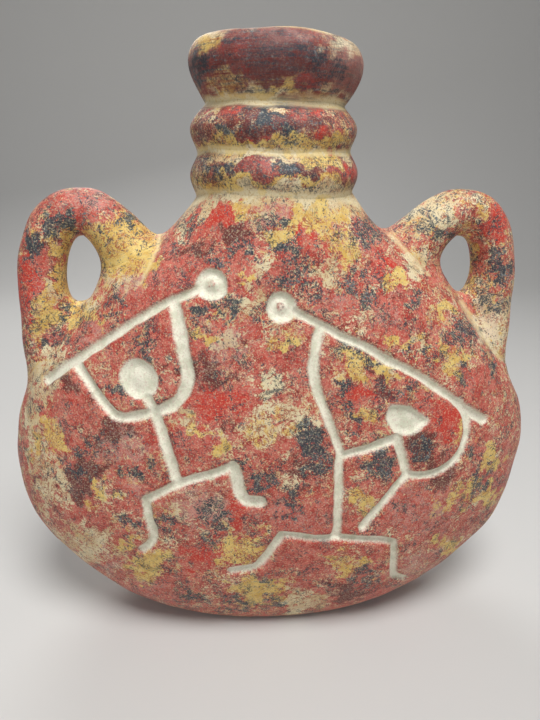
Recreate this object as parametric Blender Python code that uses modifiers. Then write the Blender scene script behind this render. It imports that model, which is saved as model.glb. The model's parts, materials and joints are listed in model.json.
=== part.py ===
"""A flattened two-handled ceramic flask with a ringed neck and incised stick figures on its front.

The flask is built as a potter builds one: a base slab, two pressed walls luted at a seam in the plane
y = 0, a turned neck with two coil rings, a turned mouth cup and two pulled handles. Metres, +Z up, the
front faces -Y, and the origin is under the middle of the base.
"""

import math

import bmesh
import bpy
from mathutils import Matrix, Vector

# Clay and its joints
WALL = 0.008
SLIP_GAP = 0.0003
SECTION_STEPS = 22
TURN_STEPS = 40

# Body: oval sections that grow from the base to the belly and draw in to the round neck
BASE_THICKNESS = 0.009
BASE_HALF_WIDTH = 0.0754
BASE_HALF_DEPTH = 0.0317
BELLY_HALF_WIDTH = 0.1668
BELLY_HALF_DEPTH = 0.0630
BELLY_HEIGHT = 0.1178
SHOULDER_HEIGHT = 0.282
SHOULDER_RADIUS = 0.044
LOWER_ROUNDNESS = 0.734
SHOULDER_SLOPE = 1.169
BELLY_SQUARENESS = 2.18
BODY_ROWS = 26

# Neck: a tube, two coil rings round it, and the mouth cup on top
NECK_RADIUS = 0.040
NECK_WALL = 0.009
RING_HEIGHT = 0.0205
LOWER_RING_RADIUS = 0.0466
UPPER_RING_RADIUS = 0.0453
RING_GROOVE_RADIUS = 0.0425
CUP_HEIGHT = 0.0335
CUP_FOOT_RADIUS = 0.0408
CUP_WAIST_RADIUS = 0.0371
CUP_WAIST_RISE = 0.0042
CUP_RADIUS = 0.0468
CUP_WIDEST_RISE = 0.0255
CUP_WALL = 0.0085
LIP_INSET = 0.0035

# Handles: loops pulled a little differently on each side, thicker where they are pressed on
LEFT_HANDLE_RADIUS = 0.0136
LEFT_HANDLE_INSET = 0.0270
RIGHT_HANDLE_RADIUS = 0.0132
RIGHT_HANDLE_INSET = 0.0290
HANDLE_TOP_DROP = 0.0110
HANDLE_HEAD_DROP = 0.0230
HANDLE_FOOT_DROP = 0.0925
HEAD_FLARE = 0.30
FOOT_FLARE = 0.28
HANDLE_SIDES = 14
HANDLE_STEPS = 26

# Incised figures: lines drawn with a round tool, and pressed discs
LINE_RADIUS = 0.0035
LINE_DEPTH = 0.0026
LINE_STEP = 0.010
LINE_SIDES = 8
DISC_DEPTH = 0.0028
DISC_TAPER = 0.70
DISC_SIDES = 20

# The figures are drawn on a sheet in millimetres, as (x from the middle, height) on a body of this size
SHEET_HALF_WIDTH = 166.8
SHEET_HEIGHT = 282.0
SPEAR_FIGURE = {
    "spear": [(-133, 178), (-95, 207), (-43, 238)],
    "raised_arm": [(-57, 226), (-50, 197), (-49, 187), (-55, 177), (-69, 169)],
    "bent_arm": [(-113, 189), (-93, 165), (-86, 164), (-70, 169)],
    "trunk": [(-72, 177), (-67, 163), (-59, 130)],
    "hips": [(-76, 115), (-59, 125), (-29, 138)],
    "left_leg": [(-77, 115), (-74, 91), (-76, 84), (-82, 78)],
    "right_leg": [(-27, 139), (-24, 124), (-21, 116), (-12, 115)],
}
BOW_FIGURE = {
    "staff": [(8, 225), (31, 212), (65, 194), (86, 182), (105, 168), (125, 154)],
    "raised_arm": [(21, 215), (17, 194), (18, 186), (23, 170), (34, 145)],
    "trunk": [(34, 144), (34, 87)],
    "shoulders": [(35, 142), (68, 152)],
    "throat": [(68, 152), (74, 130)],
    "bow": [(105, 169), (111, 161), (113, 150), (108, 135), (96, 128), (84, 126), (74, 128)],
    "string": [(74, 127), (50, 91)],
    "hips": [(2, 91), (49, 83), (71, 77)],
    "left_leg": [(2, 90), (-7, 73), (-14, 63), (-29, 61)],
    "right_leg": [(72, 75), (74, 55), (77, 43), (86, 38)],
    "chin": [(68, 165), (84, 160)],
}
DISCS = {
    "spear_ball": (-36, 238, 8.6),
    "spear_head": (-77, 187, 10.8),
    "staff_ball": (0, 228, 8.2),
    "bow_head": (67, 164, 9.0),
}


def clear_scene():
    for leftover in list(bpy.data.objects):
        bpy.data.objects.remove(leftover, do_unlink=True)


def make_collection(name):
    collection = bpy.data.collections.new(name)
    bpy.context.scene.collection.children.link(collection)
    return collection


def paint(name, colour, roughness):
    """A matte painted-clay material."""
    material = bpy.data.materials.new(name)
    material.use_nodes = True
    shader = material.node_tree.nodes["Principled BSDF"]
    shader.inputs["Base Color"].default_value = (*colour, 1.0)
    shader.inputs["Roughness"].default_value = roughness
    shader.inputs["Metallic"].default_value = 0.0
    return material


def add_object(name, mesh, collection, material=None):
    piece = bpy.data.objects.new(name, mesh)
    collection.objects.link(piece)
    if material:
        mesh.materials.append(material)
    return piece


def hide_cutter(cutter):
    cutter.hide_render = True
    cutter.display_type = "WIRE"


# Body form

def body_half_sizes(height):
    """Half width and half depth of the body's oval at a height."""
    if height < BELLY_HEIGHT:
        below = 1.0 - height / BELLY_HEIGHT
        grown = (1.0 - below**2) ** LOWER_ROUNDNESS
        half_width = BASE_HALF_WIDTH + (BELLY_HALF_WIDTH - BASE_HALF_WIDTH) * grown
        half_depth = BASE_HALF_DEPTH + (BELLY_HALF_DEPTH - BASE_HALF_DEPTH) * grown
        return half_width, half_depth
    above = min((height - BELLY_HEIGHT) / (SHOULDER_HEIGHT - BELLY_HEIGHT), 1.0)
    left = (1.0 - above**2) ** SHOULDER_SLOPE
    half_width = SHOULDER_RADIUS + (BELLY_HALF_WIDTH - SHOULDER_RADIUS) * left
    half_depth = SHOULDER_RADIUS + (BELLY_HALF_DEPTH - SHOULDER_RADIUS) * left
    return half_width, half_depth


def squareness(height):
    """Exponent of the oval: fuller than an ellipse at the belly, a plain circle at the shoulder."""
    above = max(height - BELLY_HEIGHT, 0.0) / (SHOULDER_HEIGHT - BELLY_HEIGHT)
    return BELLY_SQUARENESS + (2.0 - BELLY_SQUARENESS) * min(above, 1.0) ** 2


def oval_point(angle, half_width, half_depth, exponent):
    """A point of the oval |x/a|^n + |y/b|^n = 1, with angle 0 at +X and the front half at -Y."""
    power = 2.0 / exponent
    x = half_width * math.copysign(abs(math.cos(angle)) ** power, math.cos(angle))
    y = -half_depth * math.copysign(abs(math.sin(angle)) ** power, math.sin(angle))
    return x, y


def front_surface(x, height):
    """The point of the front wall's outer face at x and a height."""
    half_width, half_depth = body_half_sizes(height)
    exponent = squareness(height)
    share = max(1.0 - abs(x / half_width) ** exponent, 0.0)
    return Vector((x, -half_depth * share ** (1.0 / exponent), height))


def wall_heights():
    """Heights of the wall's sections, closer together near the base and the shoulder."""
    low = BASE_THICKNESS + SLIP_GAP
    return [
        low + (SHOULDER_HEIGHT - low) * (0.5 - 0.5 * math.cos(math.pi * row / BODY_ROWS))
        for row in range(BODY_ROWS + 1)
    ]


def loft(name, sections):
    """A closed mesh through loops of equally many points, with a face on each end."""
    mesh = bpy.data.meshes.new(name)
    work = bmesh.new()
    loops = [[work.verts.new(point) for point in section] for section in sections]
    for lower, upper in zip(loops, loops[1:]):
        for here in range(len(lower)):
            after = (here + 1) % len(lower)
            work.faces.new((lower[here], lower[after], upper[after], upper[here]))
    work.faces.new(loops[0][::-1])
    work.faces.new(loops[-1])
    bmesh.ops.recalc_face_normals(work, faces=work.faces)
    work.to_mesh(mesh)
    work.free()
    mesh.shade_smooth()
    mesh.set_sharp_from_angle(angle=math.radians(40))
    return mesh


def half_wall_section(height, front):
    """A C-shaped loop: the outer face from seam to seam, then back along the inner face."""
    half_width, half_depth = body_half_sizes(height)
    exponent = squareness(height)
    side = 1.0 if front else -1.0
    angles = [math.pi * step / SECTION_STEPS for step in range(SECTION_STEPS + 1)]
    outer = [oval_point(a, half_width, half_depth, exponent) for a in angles]
    inner = [oval_point(a, half_width - WALL, half_depth - WALL, exponent) for a in angles]
    loop = outer + inner[::-1]
    return [(x, side * (y - SLIP_GAP / 2), height) for x, y in loop]


def full_section(height, grow):
    """The body's whole outer oval at a height, grown outwards."""
    half_width, half_depth = body_half_sizes(height)
    exponent = squareness(height)
    steps = 2 * SECTION_STEPS
    angles = [2 * math.pi * step / steps for step in range(steps)]
    points = [oval_point(a, half_width + grow, half_depth + grow, exponent) for a in angles]
    return [(x, y, height) for x, y in points]


def make_wall(name, front, collection, material):
    mesh = loft(name, [half_wall_section(height, front) for height in wall_heights()])
    return add_object(name, mesh, collection, material)


def make_base(collection, material):
    """The slab that the walls stand on, with its lower edge rounded by the body's own curve."""
    rows = 4
    heights = [BASE_THICKNESS * row / rows for row in range(rows + 1)]
    mesh = loft("base_slab", [full_section(height, 0.0) for height in heights])
    return add_object("base_slab", mesh, collection, material)


# Neck, rings and mouth

def turned(name, profile, collection, material):
    """A closed profile of (radius, height) points turned round the Z axis."""
    mesh = bpy.data.meshes.new(name)
    points = [(radius, 0.0, height) for radius, height in profile]
    edges = [(here, (here + 1) % len(points)) for here in range(len(points))]
    mesh.from_pydata(points, edges, [])
    piece = add_object(name, mesh, collection, material)
    screw = piece.modifiers.new("turned", "SCREW")
    screw.axis = "Z"
    screw.steps = TURN_STEPS
    screw.render_steps = TURN_STEPS
    screw.use_merge_vertices = True
    screw.merge_threshold = 0.00001
    screw.use_smooth_shade = True
    return piece


def neck_foot():
    return SHOULDER_HEIGHT + SLIP_GAP


def lower_ring_top():
    return neck_foot() + RING_HEIGHT


def upper_ring_top():
    return lower_ring_top() + SLIP_GAP + RING_HEIGHT


def make_neck(collection, material):
    top = upper_ring_top()
    foot = neck_foot()
    inside = NECK_RADIUS - NECK_WALL
    profile = [(NECK_RADIUS, top), (NECK_RADIUS, foot), (inside, foot), (inside, top)]
    return turned("neck_tube", profile, collection, material)


def make_ring(name, foot, foot_radius, widest, top_radius, collection, material):
    """A coil ring: flat where it lies on the neck, round outside."""
    steps = 9
    bore = NECK_RADIUS + SLIP_GAP
    outside = []
    for step in range(steps + 1):
        share = 1.0 - step / steps
        straight = foot_radius + (top_radius - foot_radius) * share
        crown = widest - (foot_radius + top_radius) / 2
        outside.append((straight + crown * math.sin(math.pi * share) ** 0.7, foot + RING_HEIGHT * share))
    profile = outside + [(bore, foot), (bore, foot + RING_HEIGHT)]
    return turned(name, profile, collection, material)


def cup_outline():
    """Outer side of the mouth cup from lip to foot, as (radius, rise) points."""
    flare_steps = 7
    lip_steps = 4
    lip = []
    for step in range(lip_steps):
        turn = math.pi / 2 * (1.0 - step / lip_steps)
        rise = CUP_WIDEST_RISE + (CUP_HEIGHT - CUP_WIDEST_RISE) * math.sin(turn)
        lip.append((CUP_RADIUS - LIP_INSET * (1.0 - math.cos(turn)), rise))
    flare = []
    for step in range(flare_steps + 1):
        share = 1.0 - step / flare_steps
        rise = CUP_WAIST_RISE + (CUP_WIDEST_RISE - CUP_WAIST_RISE) * share
        opened = 0.5 - 0.5 * math.cos(math.pi * share**0.8)
        flare.append((CUP_WAIST_RADIUS + (CUP_RADIUS - CUP_WAIST_RADIUS) * opened, rise))
    return lip + flare + [(CUP_FOOT_RADIUS, 0.0)]


def make_mouth(collection, material):
    """The mouth cup: its inside follows the outside one wall further in, with a rounded lip between."""
    foot = upper_ring_top() + SLIP_GAP
    outside = cup_outline()
    lip_round = CUP_WALL / 4
    inside = [(CUP_RADIUS - LIP_INSET - CUP_WALL, CUP_HEIGHT - lip_round)]
    inside += [(radius - CUP_WALL, rise) for radius, rise in outside if 0.0 < rise <= CUP_WIDEST_RISE]
    inside.append((CUP_WAIST_RADIUS - CUP_WALL, 0.0))
    profile = [(radius, foot + rise) for radius, rise in outside + inside[::-1]]
    return turned("mouth_cup", profile, collection, material)


# Handles

def handle_route(inset, radius):
    """Centreline of a handle on the +X side, from inside the shoulder over the top to inside the side."""
    reach = BELLY_HALF_WIDTH - inset
    top = SHOULDER_HEIGHT - HANDLE_TOP_DROP
    head = top - HANDLE_HEAD_DROP
    foot = top - HANDLE_FOOT_DROP
    head_x = body_half_sizes(head)[0]
    foot_x = body_half_sizes(foot)[0]
    crown_x = (head_x + reach) / 2
    across = reach - crown_x
    return [
        Vector((head_x - radius, 0.0, head - radius)),
        Vector((head_x + 0.08 * across, 0.0, head + 0.10 * HANDLE_HEAD_DROP)),
        Vector((crown_x - 0.50 * across, 0.0, top - 0.26 * HANDLE_HEAD_DROP)),
        Vector((crown_x, 0.0, top)),
        Vector((crown_x + 0.45 * across, 0.0, top - 0.04 * HANDLE_FOOT_DROP)),
        Vector((crown_x + 0.75 * across, 0.0, top - 0.16 * HANDLE_FOOT_DROP)),
        Vector((crown_x + 0.91 * across, 0.0, top - 0.36 * HANDLE_FOOT_DROP)),
        Vector((reach - 0.40 * FOOT_FLARE * radius, 0.0, top - 0.63 * HANDLE_FOOT_DROP)),
        Vector((reach - 0.90 * FOOT_FLARE * radius, 0.0, top - 0.82 * HANDLE_FOOT_DROP)),
        Vector((foot_x - 0.75 * radius, 0.0, foot)),
        Vector((foot_x - 1.60 * radius, 0.0, foot - radius)),
    ]


def smooth_route(points, count):
    """Evenly stepped points of a Catmull-Rom curve through the route."""
    padded = [2 * points[0] - points[1]] + points + [2 * points[-1] - points[-2]]
    spans = len(points) - 1
    found = []
    for step in range(count + 1):
        place = spans * step / count
        span = min(int(place), spans - 1)
        t = place - span
        before, start, end, after = padded[span : span + 4]
        found.append(
            0.5
            * (
                2 * start
                + (end - before) * t
                + (2 * before - 5 * start + 4 * end - after) * t**2
                + (3 * start - before - 3 * end + after) * t**3
            )
        )
    return found


def tube_mesh(name, points, radii, sides):
    """A closed round tube through points, made as a bevelled curve and welded at its caps."""
    curve = bpy.data.curves.new(name, "CURVE")
    curve.dimensions = "3D"
    curve.bevel_depth = 1.0
    curve.bevel_resolution = sides // 2 - 2
    curve.use_fill_caps = True
    spline = curve.splines.new("POLY")
    spline.points.add(len(points) - 1)
    for control, point, radius in zip(spline.points, points, radii):
        control.co = (*point, 1.0)
        control.radius = radius
    holder = bpy.data.objects.new(name, curve)
    bpy.context.scene.collection.objects.link(holder)
    graph = bpy.context.evaluated_depsgraph_get()
    mesh = bpy.data.meshes.new_from_object(holder.evaluated_get(graph))
    bpy.data.objects.remove(holder)
    bpy.data.curves.remove(curve)
    work = bmesh.new()
    work.from_mesh(mesh)
    bmesh.ops.remove_doubles(work, verts=work.verts, dist=0.00001)
    bmesh.ops.recalc_face_normals(work, faces=work.faces)
    work.to_mesh(mesh)
    work.free()
    mesh.name = name
    mesh.shade_smooth()
    return mesh


def make_handle(name, side, inset, radius, body_cutter, collection, material):
    points = smooth_route(handle_route(inset, radius), HANDLE_STEPS)
    points = [Vector((side * point.x, point.y, point.z)) for point in points]
    radii = []
    for step in range(len(points)):
        share = step / HANDLE_STEPS
        head = HEAD_FLARE * max(1.0 - 3.5 * share, 0.0)
        foot = FOOT_FLARE * min(max(3.0 * share - 1.5, 0.0), 1.0)
        radii.append(radius * (1.0 + head + foot))
    handle = add_object(name, tube_mesh(name, points, radii, HANDLE_SIDES), collection, material)
    fit = handle.modifiers.new("seat on the body", "BOOLEAN")
    fit.operation = "DIFFERENCE"
    fit.object = body_cutter
    return handle


def make_body_cutter(collection):
    """The body's outer form grown by the slip gap, which shapes the seats of the handles."""
    heights = [0.0] + wall_heights()
    mesh = loft("body_cutter", [full_section(height, SLIP_GAP) for height in heights])
    cutter = add_object("body_cutter", mesh, collection)
    hide_cutter(cutter)
    return cutter


# Incised figures

def sheet_point(x, height):
    """A point of the sheet, laid on the front wall."""
    across = x / SHEET_HALF_WIDTH * BELLY_HALF_WIDTH
    return front_surface(across, height / SHEET_HEIGHT * SHOULDER_HEIGHT)


def sheet_normal(x, height):
    """The way out of the front wall at a point of the sheet."""
    sideways = sheet_point(x + 1.0, height) - sheet_point(x - 1.0, height)
    upwards = sheet_point(x, height + 1.0) - sheet_point(x, height - 1.0)
    return sideways.cross(upwards).normalized()


def line_route(points):
    """Points of a drawn line at short steps, lifted so that the round tool sinks in by the line's depth."""
    lift = LINE_RADIUS - LINE_DEPTH
    step = LINE_STEP / BELLY_HALF_WIDTH * SHEET_HALF_WIDTH
    route = []
    for (x0, z0), (x1, z1) in zip(points, points[1:]):
        pieces = max(round(math.hypot(x1 - x0, z1 - z0) / step), 1)
        for piece in range(pieces):
            share = piece / pieces
            route.append((x0 + (x1 - x0) * share, z0 + (z1 - z0) * share))
    route.append(points[-1])
    return [sheet_point(x, z) + lift * sheet_normal(x, z) for x, z in route]


def add_line(work, name, points):
    """Adds the round tube that cuts one line."""
    route = line_route(points)
    mesh = tube_mesh(name, route, [LINE_RADIUS] * len(route), LINE_SIDES)
    work.from_mesh(mesh)
    bpy.data.meshes.remove(mesh)


def add_disc(work, x, height, radius):
    """Adds the cone that cuts a shallow round dimple with a sloping edge."""
    normal = sheet_normal(x, height)
    rim = radius / SHEET_HALF_WIDTH * BELLY_HALF_WIDTH
    floor = rim * DISC_TAPER
    above = 2 * DISC_DEPTH
    top = rim + (rim - floor) * above / DISC_DEPTH
    turn = normal.to_track_quat("Z", "Y").to_matrix().to_4x4()
    middle = sheet_point(x, height) + normal * (above - DISC_DEPTH) / 2
    bmesh.ops.create_cone(
        work,
        cap_ends=True,
        segments=DISC_SIDES,
        radius1=floor,
        radius2=top,
        depth=above + DISC_DEPTH,
        matrix=Matrix.Translation(middle) @ turn,
    )


def incise(wall, collection):
    """Cuts all lines and discs in one step, since they run into each other."""
    work = bmesh.new()
    for x, height, radius in DISCS.values():
        add_disc(work, x, height, radius)
    for figure in (SPEAR_FIGURE, BOW_FIGURE):
        for name, points in figure.items():
            add_line(work, name, points)
    mesh = bpy.data.meshes.new("figure_cutter")
    work.to_mesh(mesh)
    work.free()
    cutter = add_object("figure_cutter", mesh, collection)
    hide_cutter(cutter)
    groove = wall.modifiers.new("incised figures", "BOOLEAN")
    groove.operation = "DIFFERENCE"
    groove.object = cutter
    groove.use_self = True


def main():
    clear_scene()
    flask = make_collection("two_handled_flask")
    cutters = make_collection("cutters")
    red = paint("red_wash", (0.46, 0.13, 0.10), 0.72)
    maroon = paint("maroon_wash", (0.30, 0.09, 0.08), 0.70)
    ochre = paint("ochre_wash", (0.62, 0.42, 0.20), 0.74)
    cream = paint("cream_slip", (0.68, 0.60, 0.44), 0.80)
    make_base(flask, cream)
    front = make_wall("front_wall", True, flask, red)
    incise(front, cutters)
    make_wall("back_wall", False, flask, red)
    make_neck(flask, cream)
    make_ring(
        "lower_neck_ring", neck_foot(), SHOULDER_RADIUS, LOWER_RING_RADIUS, RING_GROOVE_RADIUS, flask, ochre
    )
    make_ring(
        "upper_neck_ring",
        lower_ring_top() + SLIP_GAP,
        RING_GROOVE_RADIUS,
        UPPER_RING_RADIUS,
        CUP_FOOT_RADIUS,
        flask,
        maroon,
    )
    make_mouth(flask, maroon)
    body_cutter = make_body_cutter(cutters)
    make_handle("left_handle", -1.0, LEFT_HANDLE_INSET, LEFT_HANDLE_RADIUS, body_cutter, flask, ochre)
    make_handle("right_handle", 1.0, RIGHT_HANDLE_INSET, RIGHT_HANDLE_RADIUS, body_cutter, flask, red)


main()
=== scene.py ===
"""The dressed flask: hand-built clay with incised figures and dry-brushed paint, in a plain studio.

Every piece is a grid surface given by a formula, in metres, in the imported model's frame. The front faces
-Y. Paint is laid by vertex attributes that say how much of each colour a place has, and by noise that
breaks each colour up into the grains and flakes of a dry brush.
"""

import json
import math

import bpy
import numpy as np
from mathutils import Matrix

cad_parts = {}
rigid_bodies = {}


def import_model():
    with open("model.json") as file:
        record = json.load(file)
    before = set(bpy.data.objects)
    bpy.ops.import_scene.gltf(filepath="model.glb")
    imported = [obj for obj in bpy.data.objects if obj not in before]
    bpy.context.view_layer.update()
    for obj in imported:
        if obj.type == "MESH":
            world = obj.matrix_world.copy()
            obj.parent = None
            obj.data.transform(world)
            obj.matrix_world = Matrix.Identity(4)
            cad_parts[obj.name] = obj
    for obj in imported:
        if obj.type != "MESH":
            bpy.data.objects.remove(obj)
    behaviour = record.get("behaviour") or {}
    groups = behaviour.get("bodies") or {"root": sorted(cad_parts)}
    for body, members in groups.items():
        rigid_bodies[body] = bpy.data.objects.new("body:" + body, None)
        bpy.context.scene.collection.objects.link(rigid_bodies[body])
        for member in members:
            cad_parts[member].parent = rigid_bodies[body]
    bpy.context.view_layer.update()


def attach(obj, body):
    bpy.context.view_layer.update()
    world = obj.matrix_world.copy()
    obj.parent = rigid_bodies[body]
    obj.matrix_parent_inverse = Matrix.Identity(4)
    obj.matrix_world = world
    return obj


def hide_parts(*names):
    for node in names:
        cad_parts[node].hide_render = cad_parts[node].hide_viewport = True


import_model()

# Sizes of the clay form, in metres
WALL = 0.008
FOOT_THICKNESS = 0.009
FOOT_CLEARANCE = 0.0002
FOOT_HALF_WIDTH = 0.0754
FOOT_HALF_DEPTH = 0.0317
BELLY_HALF_WIDTH = 0.1668
BELLY_HALF_DEPTH = 0.0630
BELLY_HEIGHT = 0.1178
SHOULDER_HEIGHT = 0.282
SHOULDER_RADIUS = 0.044
RING_JOINT_HEIGHT = 0.3036
CUP_FOOT_HEIGHT = 0.3238
LIP_HEIGHT = 0.3574
LOWER_ROUNDNESS = 0.734
SHOULDER_SLOPE = 1.169
BELLY_SQUARENESS = 2.18
NECK_BORE = 0.031
RING_BORE = 0.0370
SEAM_DEPTH = 0.0008

# Rows and columns of the grids, turns round the neck and the step along its outer side in metres
FRONT_GRID = (262, 318)
BACK_GRID = (180, 200)
INNER_COLUMNS = 26
FOOT_GRID = (6, 160)
HANDLE_GRID = (190, 110)
NECK_TURNS = 320
TUBE_TURNS = 120
NECK_STEP = 0.0011
# Points of the fine curves that grids are cut from, and of the line that a handle's gap is measured to
WALL_FINE_STEPS = 4000
NECK_FINE_STEPS = 300
CURVE_FINE_STEPS = 60
HANDLE_FINE_STEPS = 200
GAP_STEPS = 150
# How many waves a field of chance sums up, and the least and most of each that go into its length
WAVE_COUNT = 14
WAVE_STRETCH = (0.7, 1.4)
# The angle between faces past which their edge is sharp
SHARP_ANGLE = math.radians(50)

# Viewpoint: the photograph's camera, fitted to the outline
FOCAL_PIXELS = 541.0
SENSOR_MILLIMETRES = 36.0
NEAREST_SEEN = 0.01
PHOTO_WIDTH = 540
PHOTO_HEIGHT = 720
CAMERA_DISTANCE = 0.327
CAMERA_HEIGHT = 0.298
CAMERA_ASIDE = -0.00257
CAMERA_PITCH = math.radians(20.0)
CAMERA_ROLL = 0.009
FLASK_TURN = 0.064


# Camera

def camera_axes():
    """Right, up and forward of the camera and its place, in the flask's frame."""
    cos_turn = math.cos(FLASK_TURN)
    sin_turn = math.sin(FLASK_TURN)
    unturn = np.array([[cos_turn, sin_turn, 0.0], [-sin_turn, cos_turn, 0.0], [0.0, 0.0, 1.0]])
    level_right = np.array([1.0, 0.0, 0.0])
    level_up = np.array([0.0, math.sin(CAMERA_PITCH), math.cos(CAMERA_PITCH)])
    forward = np.array([0.0, math.cos(CAMERA_PITCH), -math.sin(CAMERA_PITCH)])
    right = level_right * math.cos(CAMERA_ROLL) + level_up * math.sin(CAMERA_ROLL)
    up = level_up * math.cos(CAMERA_ROLL) - level_right * math.sin(CAMERA_ROLL)
    place = np.array([CAMERA_ASIDE, -CAMERA_DISTANCE, CAMERA_HEIGHT])
    return unturn @ right, unturn @ up, unturn @ forward, unturn @ place


def photo_place(points):
    """Where points of the flask are seen in the photograph, as pixel columns and rows."""
    right, up, forward, place = camera_axes()
    away = points - place
    depth = away @ forward
    column = PHOTO_WIDTH / 2 + FOCAL_PIXELS * (away @ right) / depth
    row = PHOTO_HEIGHT / 2 - FOCAL_PIXELS * (away @ up) / depth
    return column, row


def make_camera():
    """The camera at the photograph's viewpoint, without shift."""
    right, up, forward, place = camera_axes()
    data = bpy.data.cameras.new("photo_view")
    data.sensor_width = SENSOR_MILLIMETRES
    data.lens = FOCAL_PIXELS / PHOTO_HEIGHT * data.sensor_width
    data.clip_start = NEAREST_SEEN
    camera = bpy.data.objects.new("photo_view", data)
    turn = Matrix([[right[i], up[i], -forward[i], place[i]] for i in range(3)] + [[0, 0, 0, 1]])
    camera.matrix_world = turn
    bpy.context.scene.collection.objects.link(camera)
    bpy.context.scene.camera = camera


# Clay form

def half_sizes(height):
    """Half width and half depth of the body's oval at each height.

    From the foot or the shoulder they grow to the belly by (1 - d^2)^p, where d is the share of the height
    that is left to the belly.
    """
    below = np.clip(1.0 - height / BELLY_HEIGHT, 0.0, 1.0)
    above = np.clip((height - BELLY_HEIGHT) / (SHOULDER_HEIGHT - BELLY_HEIGHT), 0.0, 1.0)
    low = (1.0 - below**2) ** LOWER_ROUNDNESS
    high = (1.0 - above**2) ** SHOULDER_SLOPE
    is_low = height < BELLY_HEIGHT
    start_width = np.where(is_low, FOOT_HALF_WIDTH, SHOULDER_RADIUS)
    start_depth = np.where(is_low, FOOT_HALF_DEPTH, SHOULDER_RADIUS)
    grown = np.where(is_low, low, high)
    half_width = start_width + (BELLY_HALF_WIDTH - start_width) * grown
    half_depth = start_depth + (BELLY_HALF_DEPTH - start_depth) * grown
    return half_width, half_depth


def squareness(height):
    """Exponent of the oval: fuller than an ellipse at the belly, a circle at the shoulder."""
    above = np.clip((height - BELLY_HEIGHT) / (SHOULDER_HEIGHT - BELLY_HEIGHT), 0.0, 1.0)
    return BELLY_SQUARENESS + (2.0 - BELLY_SQUARENESS) * above**2


def body_points(angle, height, inset):
    """Points of the ovals |x/a|^n + |y/b|^n = 1, drawn in by the inset. Angle 0 is +X, the front is -Y."""
    half_width, half_depth = half_sizes(height)
    power = 2.0 / squareness(height)
    cosine = np.cos(angle)
    sine = np.sin(angle)
    x = (half_width - inset) * np.sign(cosine) * np.abs(cosine) ** power
    y = -(half_depth - inset) * np.sign(sine) * np.abs(sine) ** power
    return np.stack(np.broadcast_arrays(x, y, height), axis=-1)


def body_distance(points):
    """About how far points are outside the body's outer face.

    The level (|x/a|^n + |y/b|^n)^(1/n) less 1, over the length of the level's slope.
    """
    lowest = 0.001
    rise = 0.0005
    least_level = 0.05
    x = np.abs(points[..., 0])
    y = np.abs(points[..., 1])
    height = np.clip(points[..., 2], lowest, SHOULDER_HEIGHT)
    half_width, half_depth = half_sizes(height)
    exponent = squareness(height)
    level = ((x / half_width) ** exponent + (y / half_depth) ** exponent) ** (1.0 / exponent)
    width_up, depth_up = half_sizes(np.clip(points[..., 2] + rise, lowest, SHOULDER_HEIGHT))
    level_up = ((x / width_up) ** exponent + (y / depth_up) ** exponent) ** (1.0 / exponent)
    slope_z = (level_up - level) / rise
    base = np.maximum(level, least_level) ** (1.0 - exponent)
    slope_x = base * (x / half_width) ** (exponent - 1.0) / half_width
    slope_y = base * (y / half_depth) ** (exponent - 1.0) / half_depth
    return (level - 1.0) / np.sqrt(slope_x**2 + slope_y**2 + slope_z**2)


def even_steps(curve, count):
    """Places from 0 to 1 at which a finely sampled curve is cut into equal lengths."""
    lengths = np.linalg.norm(np.diff(curve, axis=0), axis=1)
    along = np.concatenate([[0.0], np.cumsum(lengths)])
    return np.interp(np.linspace(0.0, along[-1], count), along, np.linspace(0.0, 1.0, len(curve)))


def resampled(curve, count):
    """A finely sampled curve cut into equal lengths."""
    cut = even_steps(curve, count)
    positions = np.linspace(0.0, 1.0, len(curve))
    return np.stack([np.interp(cut, positions, curve[:, i]) for i in range(curve.shape[1])], axis=-1)


def plane_waves(points, wavelength, seed):
    """A smooth field in about -1 to 1: a sum of sine waves of about one length in random directions."""
    chance = np.random.default_rng(seed)
    directions = chance.normal(size=(WAVE_COUNT, 3))
    directions /= np.linalg.norm(directions, axis=1, keepdims=True)
    stretch = chance.uniform(*WAVE_STRETCH, size=(WAVE_COUNT, 1))
    phases = chance.uniform(0.0, 2 * math.pi, size=WAVE_COUNT)
    turns = points @ (directions * stretch * 2 * math.pi / wavelength).T + phases
    return np.sin(turns).sum(axis=-1) * math.sqrt(2.0 / WAVE_COUNT)


# The neck's lean to the left: where it begins, over what height it grows, how far it goes, and the bell
# added to it at the upper ring, as its height, reach and size
LEAN_START = 0.250
LEAN_GROWTH = 0.032
LEAN = 0.0011
RING_LEAN = (0.317, 0.015, 0.0016)
# How far from the middle the lean ends, and over what distance it fades before that
LEAN_END = 0.080
LEAN_FADE = 0.025

# Places on the shoulders and the lip that a thumb pressed down: x, height, reach and how far
PRESSED = [
    (-0.062, 0.264, 0.022, 0.0048),
    (0.058, 0.272, 0.013, 0.0028),
    (0.036, LIP_HEIGHT, 0.017, 0.0018),
]
# Hand-made unevenness: the length of its waves, how far they move the clay, and the seed for each direction
SLOW_WAVES = (0.085, 0.0007, (3, 5, 8))
QUICK_WAVES = (0.026, 0.00022, (13, 21, 34))
# How high above the flat foot the waves are full, and where and over what height they halve at the mouth
FULL_WAVES_HEIGHT = 0.03
HALF_WAVES_START = 0.325
HALF_WAVES_REACH = 0.02


def bell(distance, reach):
    """exp(-(distance / reach)^2), which is 1 in the middle and falls off softly."""
    return np.exp(-((distance / reach) ** 2))


def neck_lean(height):
    """How far the neck stands to the left: a straight growth above the shoulder and a bell at the ring."""
    begun = np.clip((height - LEAN_START) / LEAN_GROWTH, 0.0, 1.0)
    ring_height, reach, size = RING_LEAN
    return -LEAN * begun - size * bell(height - ring_height, reach)


def pressed_down(points):
    """How far the clay sinks: a bell round each pressed place."""
    sunk = np.zeros(points.shape[:-1])
    for middle, height, reach, drop in PRESSED:
        away = np.hypot(points[..., 0] - middle, points[..., 2] - height)
        sunk += drop * bell(away, reach)
    return sunk


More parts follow.
